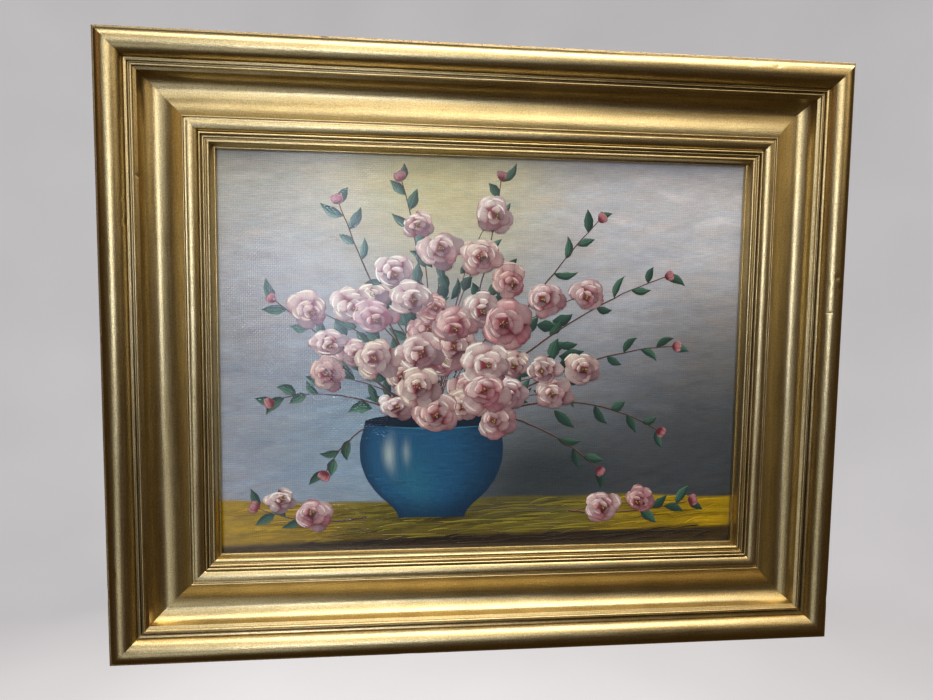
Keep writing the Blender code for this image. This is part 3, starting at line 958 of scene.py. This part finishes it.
def blossom(strokes, x, z, radius, level, shade):
    """A round garden flower of three rings of petals about a small yellow-green heart."""
    chance = strokes.chance
    centre = np.array([x, z], float)
    squeeze = chance.uniform(0.62, 1.0)
    turn = chance.uniform(0, 2 * math.pi)
    blush = chance.uniform(0.0, 0.75)
    tint = mixed(paint(PETAL_WHITE), paint(PETAL_CREAM), chance.uniform(0.0, 0.8))
    tint = mixed(tint, paint(PETAL_BLUSH), blush ** 2)
    ground = level * LEVEL_STEP
    lean = np.array([chance.uniform(-0.22, 0.22), chance.uniform(-0.24, 0.14)]) * radius
    for ring, (count, length, width) in enumerate(PETAL_RINGS):
        for number in chance.permutation(count):
            angle = turn + ring * RING_TURN + 2 * math.pi * number / count + chance.uniform(-0.26, 0.26)
            facing = 0.5 + 0.5 * math.cos(angle - LIGHT_ANGLE)
            light = held((0.1 + 1.05 * facing) * shade + chance.uniform(-0.3, 0.2), 0.0, 1.0)
            size = radius * length * chance.uniform(0.8, 1.14)
            rosy = held(blush + chance.uniform(-0.4, 0.5), 0.0, 1.0)
            petal(strokes, centre + lean * ring * 0.5, angle, size, radius * width, squeeze,
                  ground + ring * PETAL_STEP, light, rosy, tint)
    for number in range(HEART_DOTS):
        angle = chance.uniform(0, 2 * math.pi)
        seed = centre + lean + towards(angle, squeeze) * radius * chance.uniform(0.02, 0.17)
        tone = paint(HEART_YELLOW if number % 3 == 0 else HEART_GREEN) * (0.5 + 0.4 * shade)
        strokes.dash(curve(seed, seed + (0.3, 0.3), seed + (0.9, 0.4), 4), [0.15, 0.45, 0.45, 0.15],
                     ground + 3 * PETAL_STEP + 0.03, tone)


BUD_LENGTH = 7.5
BUD_WIDTH = 0.34 * BUD_LENGTH
BUD_LEVEL = 1.0
BUD_BLUSH = 0.8


def bud(strokes, tip, heading, light):
    """A closed flower at a twig's tip: three narrow petals in a fan."""
    for number, spread in enumerate((-0.4, 0.4, 0.0)):
        petal(strokes, np.array(tip, float), heading + spread, BUD_LENGTH, BUD_WIDTH, 1.0,
              BUD_LEVEL * LEVEL_STEP + number * PETAL_STEP, light, BUD_BLUSH, paint(PETAL_BLUSH))


LEAF_STEPS = 11
RIB_HALF_WIDTH = 0.16


def leaf_line(chance, root, heading, lengths):
    """A gently bent line for one leaf, from its root along its heading."""
    length = chance.uniform(*lengths)
    tip = root + towards(heading) * length
    sway = sideways(heading) * length * chance.uniform(-0.3, 0.3)
    return curve(root, (root + tip) / 2 + sway, tip, LEAF_STEPS)


def leaf(strokes, line, width, level, light):
    """One leaf in three tones: a light half, a shaded half and a thin pale rib."""
    share = np.linspace(0, 1, LEAF_STEPS)
    widths = width * np.sin(np.pi * np.clip(share ** 0.85, 0.01, 0.99)) ** 1.1 + 0.08
    dark = paint(LEAF_DARK)
    green = mixed(dark, paint(LEAF_GREEN), light)
    bright = mixed(paint(LEAF_GREEN), paint(LEAF_LIGHT), light) * (0.5 + 0.5 * light)

    def colours(s, t):
        tone = mixed(green, bright, smooth_step(0.05, 0.7, t) * 0.8)
        tone = mixed(tone, dark, smooth_step(-0.1, -0.9, t) * 0.75)
        return mixed(tone, dark, smooth_step(0.35, 0.0, s) * 0.5)

    strokes.add(line, widths, level * LEVEL_STEP, 0.03, colours, across=6, waver=0.09, streak=0.22)
    if light > 0.4:
        rib = line[2:-2]
        strokes.dash(rib, np.full(len(rib), RIB_HALF_WIDTH), level * LEVEL_STEP + 0.05,
                     paint(LEAF_LIGHT) * light, 0.2)


def twig(strokes, line, width, level):
    line = line + strokes.chance.normal(0, 0.16, line.shape)
    widths = np.linspace(width, width * 0.4, len(line))
    dark, light = paint(TWIG_BROWN), paint(TWIG_LIGHT)
    strokes.add(line, widths, level * LEVEL_STEP, 0.07,
                lambda s, t: mixed(dark, light, smooth_step(0.1, 0.8, t) * 0.8),
                across=4, waver=0.15, streak=0.3)


SPRAY_STEPS = 22
SPRAY_LEVEL = 0.4
SPRAY_LEAF_LENGTHS = (12, 19)
SPRAY_LEAF_LEAN = 0.75


def spray(strokes, start, bend, end, light, leaves):
    """A twig with leaves on both sides of its outer half."""
    chance = strokes.chance
    line = curve(start, bend, end, SPRAY_STEPS)
    twig(strokes, line, 0.7, SPRAY_LEVEL)
    for number in range(leaves):
        place = int(SPRAY_STEPS - 1 - number * 10 / leaves)
        run = line[place] - line[place - 1]
        lean = SPRAY_LEAF_LEAN if number % 2 else -SPRAY_LEAF_LEAN
        heading = math.atan2(run[1], run[0]) + lean * chance.uniform(0.4, 1.2)
        leaf_run = leaf_line(chance, line[place], heading, SPRAY_LEAF_LENGTHS)
        leaf(strokes, leaf_run, chance.uniform(2.6, 3.8), SPRAY_LEVEL + 0.2,
             held(light + chance.uniform(-0.25, 0.2), 0.1, 1.0))


BOWL_X = -42.0
BOWL_FOOT = -125.0
BOWL_RIM = -50.0
BOWL_LIFT = 0.10
GLAZE_LIFT = BOWL_LIFT + 0.045
MOUTH_LIFT = BOWL_LIFT + 0.10
LIP_LIFT = BOWL_LIFT + 0.11
RIM_HALF = 50.5
# The mouth's ellipse is this many times wider than high
MOUTH_FLATNESS = 9
OUTLINE_STEPS = 44
BOWL_LANES = 45
RIM_STEPS = 15
GLAZE_STROKES = 260
# How many of the outline's steps each way its corners are rounded over
OUTLINE_EASE = 2
# Half widths of the bowl up its height, from foot to rim
BOWL_OUTLINE = [(0.0, 24), (0.04, 26), (0.09, 25.5), (0.16, 31), (0.28, 42), (0.42, 50), (0.58, 54.5),
                (0.74, 55), (0.88, 52.5), (0.95, 50.5), (1.0, 51)]


# Glows on the bowl: where across and up it, how wide and high, how strong, and the colour
BOWL_GLOWS = [(0.6, 0.66, 0.07, 0.15, 0.8, BOWL_SHINE), (0.36, 0.68, 0.045, 0.11, 0.5, BOWL_SHINE)]


def bowl_colours(s, t):
    """The glaze's colour: s runs from foot to rim, and t from -1 on the right to 1 on the left."""
    deep = paint(BOWL_DEEP)
    tone = mixed(paint(BOWL_BLUE), deep, smooth_step(0.1, 0.95, -t) * 0.85)
    tone = mixed(tone, paint(BOWL_TEAL), np.exp(-((t - 0.3) / 0.32) ** 2 - ((s - 0.35) / 0.3) ** 2) * 0.65)
    tone = mixed(tone, deep, smooth_step(0.8, 1.0, np.abs(t)) * 0.7)
    tone = mixed(tone, deep, smooth_step(0.28, 0.0, s) * 0.8)
    tone = mixed(tone, deep, smooth_step(0.88, 1.0, s) * 0.6)
    for across, up, wide, high, strength, colour in BOWL_GLOWS:
        share = np.exp(-((t - across) / wide) ** 2 - ((s - up) / high) ** 2) * strength
        tone = mixed(tone, paint(colour), share)
    return tone


def bowl(strokes):
    """A wide glazed bowl: deep blue with a teal cast, darker at its edges, and two soft pale shines."""
    chance = strokes.chance
    places, halves = zip(*BOWL_OUTLINE)
    widths = np.interp(np.linspace(0, 1, OUTLINE_STEPS + 2 * OUTLINE_EASE), places, halves)
    widths = np.convolve(widths, np.full(2 * OUTLINE_EASE + 1, 1 / (2 * OUTLINE_EASE + 1)), "valid")
    heights = BOWL_FOOT + (BOWL_RIM - BOWL_FOOT) * np.linspace(0, 1, OUTLINE_STEPS)
    line = np.column_stack([np.full(OUTLINE_STEPS, BOWL_X), heights])
    strokes.add(line, widths, BOWL_LIFT, 0.05, bowl_colours, across=BOWL_LANES, streak=0.03)
    for number in range(GLAZE_STROKES):
        height = chance.uniform(0.06, 0.94)
        side = chance.uniform(-0.9, 0.9)
        reach = chance.uniform(0.05, 0.14)
        sides = np.linspace(side - reach, side + reach, 6)
        by_shine = -0.78 < side + reach and side - reach < -0.2 and 0.42 < height < 0.86
        if abs(side) + reach > 0.97 or by_shine:
            continue
        half = np.interp(height, places, halves)
        sag = 3.0 * (sides ** 2 - side ** 2)
        z = BOWL_FOOT + (BOWL_RIM - BOWL_FOOT) * height + sag
        tone = bowl_colours(np.array([height]), np.array([-side]))[0] * chance.uniform(0.86, 1.16)
        line = np.column_stack([BOWL_X + sides * half, z])
        strokes.dash(line, np.array([0.3, 0.8, 1.0, 1.0, 0.8, 0.3]) * chance.uniform(0.7, 1.3),
                     GLAZE_LIFT, tone, 0.06)
    across = np.linspace(-1, 1, RIM_STEPS)
    mouth = RIM_HALF * np.sqrt(np.clip(1 - across ** 2, 0.02, 1)) / MOUTH_FLATNESS
    rim = np.column_stack([BOWL_X + across * RIM_HALF, np.full(RIM_STEPS, BOWL_RIM)])
    strokes.add(rim, mouth, MOUTH_LIFT, 0.0, lambda s, t: paint(BOWL_DEEP) * 0.5, across=5)
    lip = np.column_stack([BOWL_X + across * RIM_HALF, BOWL_RIM - mouth])[2:-2]
    strokes.dash(lip, 0.75 * np.sin(np.linspace(0.2, math.pi - 0.2, len(lip))), LIP_LIFT,
                 paint(BOWL_TEAL) * 1.1, 0.35)


FOLD_STROKES = 230
FOLD_REACH = 188
FOLD_END = 196
CLOTH_FOOT = -146
FOLD_HALF_LENGTHS = (6, 22)
FOLD_TONES = [0.4, 0.6, 0.85, 1.1, 1.35]
FOLD_WIDTHS = np.array([0.1, 0.5, 0.8, 1.0, 1.0, 0.8, 0.5, 0.1])


def cloth_folds(strokes):
    """Long thin strokes along the table cloth, light and dark."""
    chance = strokes.chance
    for number in range(FOLD_STROKES):
        x = chance.uniform(-FOLD_REACH, FOLD_REACH)
        z = chance.uniform(CLOTH_FOOT, table_edge(x) - 1.5)
        half = chance.uniform(*FOLD_HALF_LENGTHS)
        lift = chance.normal(1.2, 1.0)
        if abs(x) + half > FOLD_END:
            continue
        ends = smooth_step(60, 180, abs(x + 10))
        warm = paint(TABLE_YELLOW) * ends + paint(TABLE_OLIVE) * (1 - ends)
        tone = warm * chance.choice(FOLD_TONES)
        if z < FRONT_EDGE + FRONT_SLOPE * x:
            tone = paint(TABLE_DARK) * chance.uniform(0.6, 1.7)
        line = curve((x - half, z - lift), (x, z + lift), (x + half, z + lift * 0.5), len(FOLD_WIDTHS))
        strokes.dash(line, FOLD_WIDTHS * chance.uniform(0.3, 0.8), 0.0, tone, 0.3)


# The bunch: where its stems meet, and for each level from the back its middle, reach, count and flower size
BUNCH_ROOT = np.array([-40.0, -52.0])
BUNCH_LEVELS = [
    ((-20, 30), (126, 88), 17, (12.5, 16.5)),
    ((-28, 18), (96, 66), 12, (14.5, 18.5)),
    ((-36, 2), (68, 48), 8, (17.0, 21.0)),
    ((-42, -26), (42, 26), 3, (18.0, 21.5)),
]
LOWEST_FLOWER = -62.0
# How close two flowers' middles may come, as a share of their radii: on one level, and on two
OWN_LEVEL_GAP = 0.86
OTHER_LEVEL_GAP = 0.42
MOST_TRIES = 4000
# All flowers are raised by this many levels, so that the lowest stand clear of the bowl's lip
FLOWER_LEVEL = 2.5
# Flowers that lie on the table: (x, z, radius, level, shade)
FALLEN_FLOWERS = [(-132, -122, 15, 0, 0.95), (-156, -110, 12, 0, 0.9), (92, -120, 16, 1, 0.9),
                  (124, -113, 13.5, 0, 0.8)]
# Sprays: (start, bend, end, light, leaves)
SPRAYS = [
    ((-60, -40), (-118, 10), (-158, 40), 0.8, 5), ((-50, -30), (-96, 70), (-112, 112), 0.85, 5),
    ((-44, -30), (-50, 80), (-66, 130), 0.8, 5), ((-30, -30), (2, 70), (8, 132), 0.7, 5),
    ((-20, -30), (44, 60), (84, 104), 0.6, 5), ((-10, -30), (70, 40), (138, 62), 0.5, 5),
    ((0, -40), (80, 6), (146, 8), 0.45, 5), ((0, -46), (70, -20), (136, -58), 0.35, 5),
    ((-66, -44), (-120, -20), (-160, -34), 0.65, 5), ((66, -122), (110, -128), (164, -116), 0.4, 5),
    ((-92, -124), (-130, -132), (-172, -116), 0.6, 4), ((-10, -40), (50, -52), (88, -88), 0.3, 4),
    ((-60, -40), (-104, -52), (-122, -88), 0.6, 4),
]


def bunch_flowers(chance):
    """Places the flowers level by level, no two of one level closer than their petals allow."""
    placed = []
    for level, (middle, reach, count, sizes) in enumerate(BUNCH_LEVELS):
        own = []
        tries = 0
        while len(own) < count and tries < MOST_TRIES:
            tries += 1
            angle, away = chance.uniform(0, 2 * math.pi), math.sqrt(chance.uniform(0.0, 1.0))
            x = middle[0] + reach[0] * away * math.cos(angle)
            z = middle[1] + reach[1] * away * math.sin(angle)
            radius = chance.uniform(*sizes)
            near = [(other, OWN_LEVEL_GAP) for other in own] + [(other, OTHER_LEVEL_GAP) for other in placed]
            crowded = any(math.hypot(x - other[0], z - other[1]) < gap * (radius + other[2])
                          for other, gap in near)
            if z < LOWEST_FLOWER or crowded:
                continue
            shade = 0.84 + 0.07 * level - 0.0019 * (x + 30) + 0.0008 * z
            own.append((x, z, radius, level, held(shade, 0.45, 1.05)))
        placed += own
    return placed


INNER_LEAVES = 110
INNER_LEAF_LENGTHS = (12, 22)


def inner_leaves(strokes):
    """Dark leaves that fill the bunch behind and between its flowers, all pointing outwards."""
    chance = strokes.chance
    for number in range(INNER_LEAVES):
        angle, away = chance.uniform(-0.1, math.pi + 0.1), math.sqrt(chance.uniform(0.02, 1.0))
        place = np.array([-26 + 96 * away * math.cos(angle), -34 + 104 * away * math.sin(angle)])
        outward = place - BUNCH_ROOT
        heading = math.atan2(outward[1], outward[0]) + chance.normal(0, 0.5)
        line = leaf_line(chance, place, heading, INNER_LEAF_LENGTHS)
        light = held(0.34 - 0.0022 * place[0] + chance.uniform(-0.3, 0.35), 0.0, 0.9)
        leaf(strokes, line, chance.uniform(2.8, 4.6), chance.uniform(0.0, 0.5), light)


def flower_stems(strokes, flowers):
    """Thin stems from the bowl to the flowers at the back of the bunch."""
    for x, z, radius, level, shade in flowers:
        if level < 2:
            bend = BUNCH_ROOT + (np.array([x, z]) - BUNCH_ROOT) * (0.3, 0.75)
            twig(strokes, curve(BUNCH_ROOT, bend, (x, z), 14), 0.6, 0.2)


def paint_figures(material):
    table = Strokes(11)
    cloth_folds(table)
    vessel = Strokes(12)
    bowl(vessel)
    flowers = bunch_flowers(np.random.RandomState(21))
    greens = Strokes(13)
    inner_leaves(greens)
    flower_stems(greens, flowers)
    buds = Strokes(15)
    for start, bend, end, light, leaves in SPRAYS:
        spray(greens, start, bend, end, light, leaves)
        bud(buds, end, math.atan2(end[1] - bend[1], end[0] - bend[0]), light)
    blossoms = Strokes(14)
    for x, z, radius, level, shade in FALLEN_FLOWERS + flowers:
        blossom(blossoms, x, z, radius, level + FLOWER_LEVEL, shade)
    return [table.piece("painted_table_cloth", material), vessel.piece("painted_bowl", material),
            greens.piece("painted_leaves", material), buds.piece("painted_buds", material),
            blossoms.piece("painted_flowers", material)]


# The stage, the lights and the camera

FLOOR_HEIGHT = -1.6
COVE_RADIUS = 4.4
SWEEP_RADIUS = 1.4
COVE_TOP = 5.0
COVE_SIDES = 96


def studio_cove(material):
    """A pale floor that bends up into a round pale wall, far enough away to keep every view clear.
    It is flagged off from the gilding's reflections, as a photographer would."""
    profile = [(0.02, FLOOR_HEIGHT), (COVE_RADIUS - SWEEP_RADIUS, FLOOR_HEIGHT)]
    for angle in np.linspace(0, math.pi / 2, 13)[1:]:
        profile.append((COVE_RADIUS - SWEEP_RADIUS + SWEEP_RADIUS * math.sin(angle),
                        FLOOR_HEIGHT + SWEEP_RADIUS * (1 - math.cos(angle))))
    profile.append((COVE_RADIUS, COVE_TOP))
    turns = np.linspace(0, 2 * math.pi, COVE_SIDES, endpoint=False)
    points = [(r * math.cos(t), r * math.sin(t), z) for r, z in profile for t in turns]
    faces = []
    for ring in range(len(profile) - 1):
        for side in range(COVE_SIDES):
            nxt = (side + 1) % COVE_SIDES
            low, high = ring * COVE_SIDES, (ring + 1) * COVE_SIDES
            faces.append((low + side, low + nxt, high + nxt, high + side))
    faces.append(tuple(range(COVE_SIDES)))
    cove = make_piece("studio_cove", points, faces, [material])
    cove.visible_glossy = False
    cove.visible_diffuse = False
    cove.visible_shadow = False


def look_from(place, target):
    direction = Vector(target) - Vector(place)
    return direction.to_track_quat("-Z", "Y").to_euler()


def soft_box(name, place, target, width, height, power, colour):
    lamp = bpy.data.lights.new(name, "AREA")
    lamp.shape = "RECTANGLE"
    lamp.size = width
    lamp.size_y = height
    lamp.energy = power
    lamp.color = linear(colour)[:3]
    box = bpy.data.objects.new(name, lamp)
    box.location = place
    box.rotation_euler = look_from(place, target)
    bpy.context.scene.collection.objects.link(box)


# Soft boxes about the work: place, width and height in metres, power in watts, and colour
SOFT_BOXES = {
    "overhead_soft_box": ((0.05, -0.73, 1.83), 2.1, 0.9, 41, "#f4f6ff"),
    "high_right_soft_box": ((0.75, -1.2, 1.5), 0.9, 0.9, 8, "#fff8f0"),
    "back_right_soft_box": ((1.2, 0.16, 1.65), 0.9, 0.9, 14, "#fff4e0"),
    "high_front_soft_box": ((0.0, -1.47, 1.45), 0.9, 0.9, 6.2, "#fff8f0"),
    "front_soft_box": ((0.0, -2.0, 0.74), 0.9, 0.9, 5.6, "#fffaf4"),
    "high_left_soft_box": ((-0.84, -1.8, 0.74), 0.9, 0.9, 5.0, "#eaf0ff"),
    "low_left_soft_box": ((-0.84, -1.8, -1.12), 0.9, 0.9, 3.2, "#e2ecff"),
    "right_soft_box": ((1.53, -1.28, 0.74), 0.9, 0.9, 3.0, "#ffe9c8"),
    "left_soft_box": ((-1.93, -0.52, 0.74), 0.9, 0.9, 1.2, "#ffc890"),
    "window_soft_box": ((-0.36, -2.25, 0.0), 0.30, 0.42, 11, "#cfdcff"),
    "behind_soft_box": ((-0.7, 2.2, 0.5), 1.2, 1.2, 34, "#fff8ee"),
}
SURROUND_TONE = "#3a2a0e"


def studio_light():
    """Large soft boxes over and before the work, and a dim warm surround."""
    for name, (place, width, height, power, colour) in SOFT_BOXES.items():
        soft_box(name, place, (0, 0, FRAME_CENTRE), width, height, power, colour)
    world = bpy.data.worlds.new("studio_surround")
    world.use_nodes = True
    tree = world.node_tree
    tree.nodes.clear()
    surround = add_node(tree, "Background", None, {"Color": linear(SURROUND_TONE), "Strength": 1.0})
    add_node(tree, "OutputWorld", links={"Surface": surround})
    bpy.context.scene.world = world


# The camera stands where the photograph was taken from, in metres
CAMERA_PLACE = (-0.0659, -0.5148, -0.1480)
CAMERA_RIGHT = (0.99506, -0.0985, 0.0119)
CAMERA_UP = (-0.0045, 0.0751, 0.99717)
CAMERA_LENS = 25.27


def photo_camera():
    lens = bpy.data.cameras.new("photo_camera")
    lens.sensor_fit = "HORIZONTAL"
    lens.sensor_width = 36.0
    lens.lens = CAMERA_LENS
    lens.clip_start = 0.01
    camera = bpy.data.objects.new("photo_camera", lens)
    right = Vector(CAMERA_RIGHT).normalized()
    back = right.cross(Vector(CAMERA_UP)).normalized()
    up = back.cross(right)
    turn = Matrix((right, up, back)).transposed()
    camera.matrix_world = Matrix.Translation(CAMERA_PLACE) @ turn.to_4x4()
    bpy.context.scene.collection.objects.link(camera)
    bpy.context.scene.camera = camera


# How strongly the weave shows through the thin ground, and through thick paint
GROUND_WEAVE = 0.75
THICK_PAINT_WEAVE = 0.25


def build():
    photo_camera()
    studio_light()
    studio_cove(studio_paper_material())
    gilt = gilt_moulding_material()
    clay = clay_side_material()
    back_wood = planed_wood_material("planed_basswood", "#c3a982", "#94754d")
    pine = planed_wood_material("planed_pine", WOOD_PALE, WOOD_DARK)
    outline = ease_arrises(slope_flats(read_section()))
    section = (outline, section_normals(outline), quirk_depth(outline))
    for side in RAILS:
        gilt_rail(side, section, [gilt, clay, back_wood])
        stretcher_bar(side, pine)
    ground_paint = oil_paint_material("oil_paint_on_canvas", GROUND_WEAVE)
    thick_paint = oil_paint_material("thick_oil_paint", THICK_PAINT_WEAVE)
    linen = raw_linen_material()
    cloth = painted_cloth([ground_paint, linen])
    figures = paint_figures(thick_paint)
    bpy.context.scene.view_settings.view_transform = "Standard"


build()
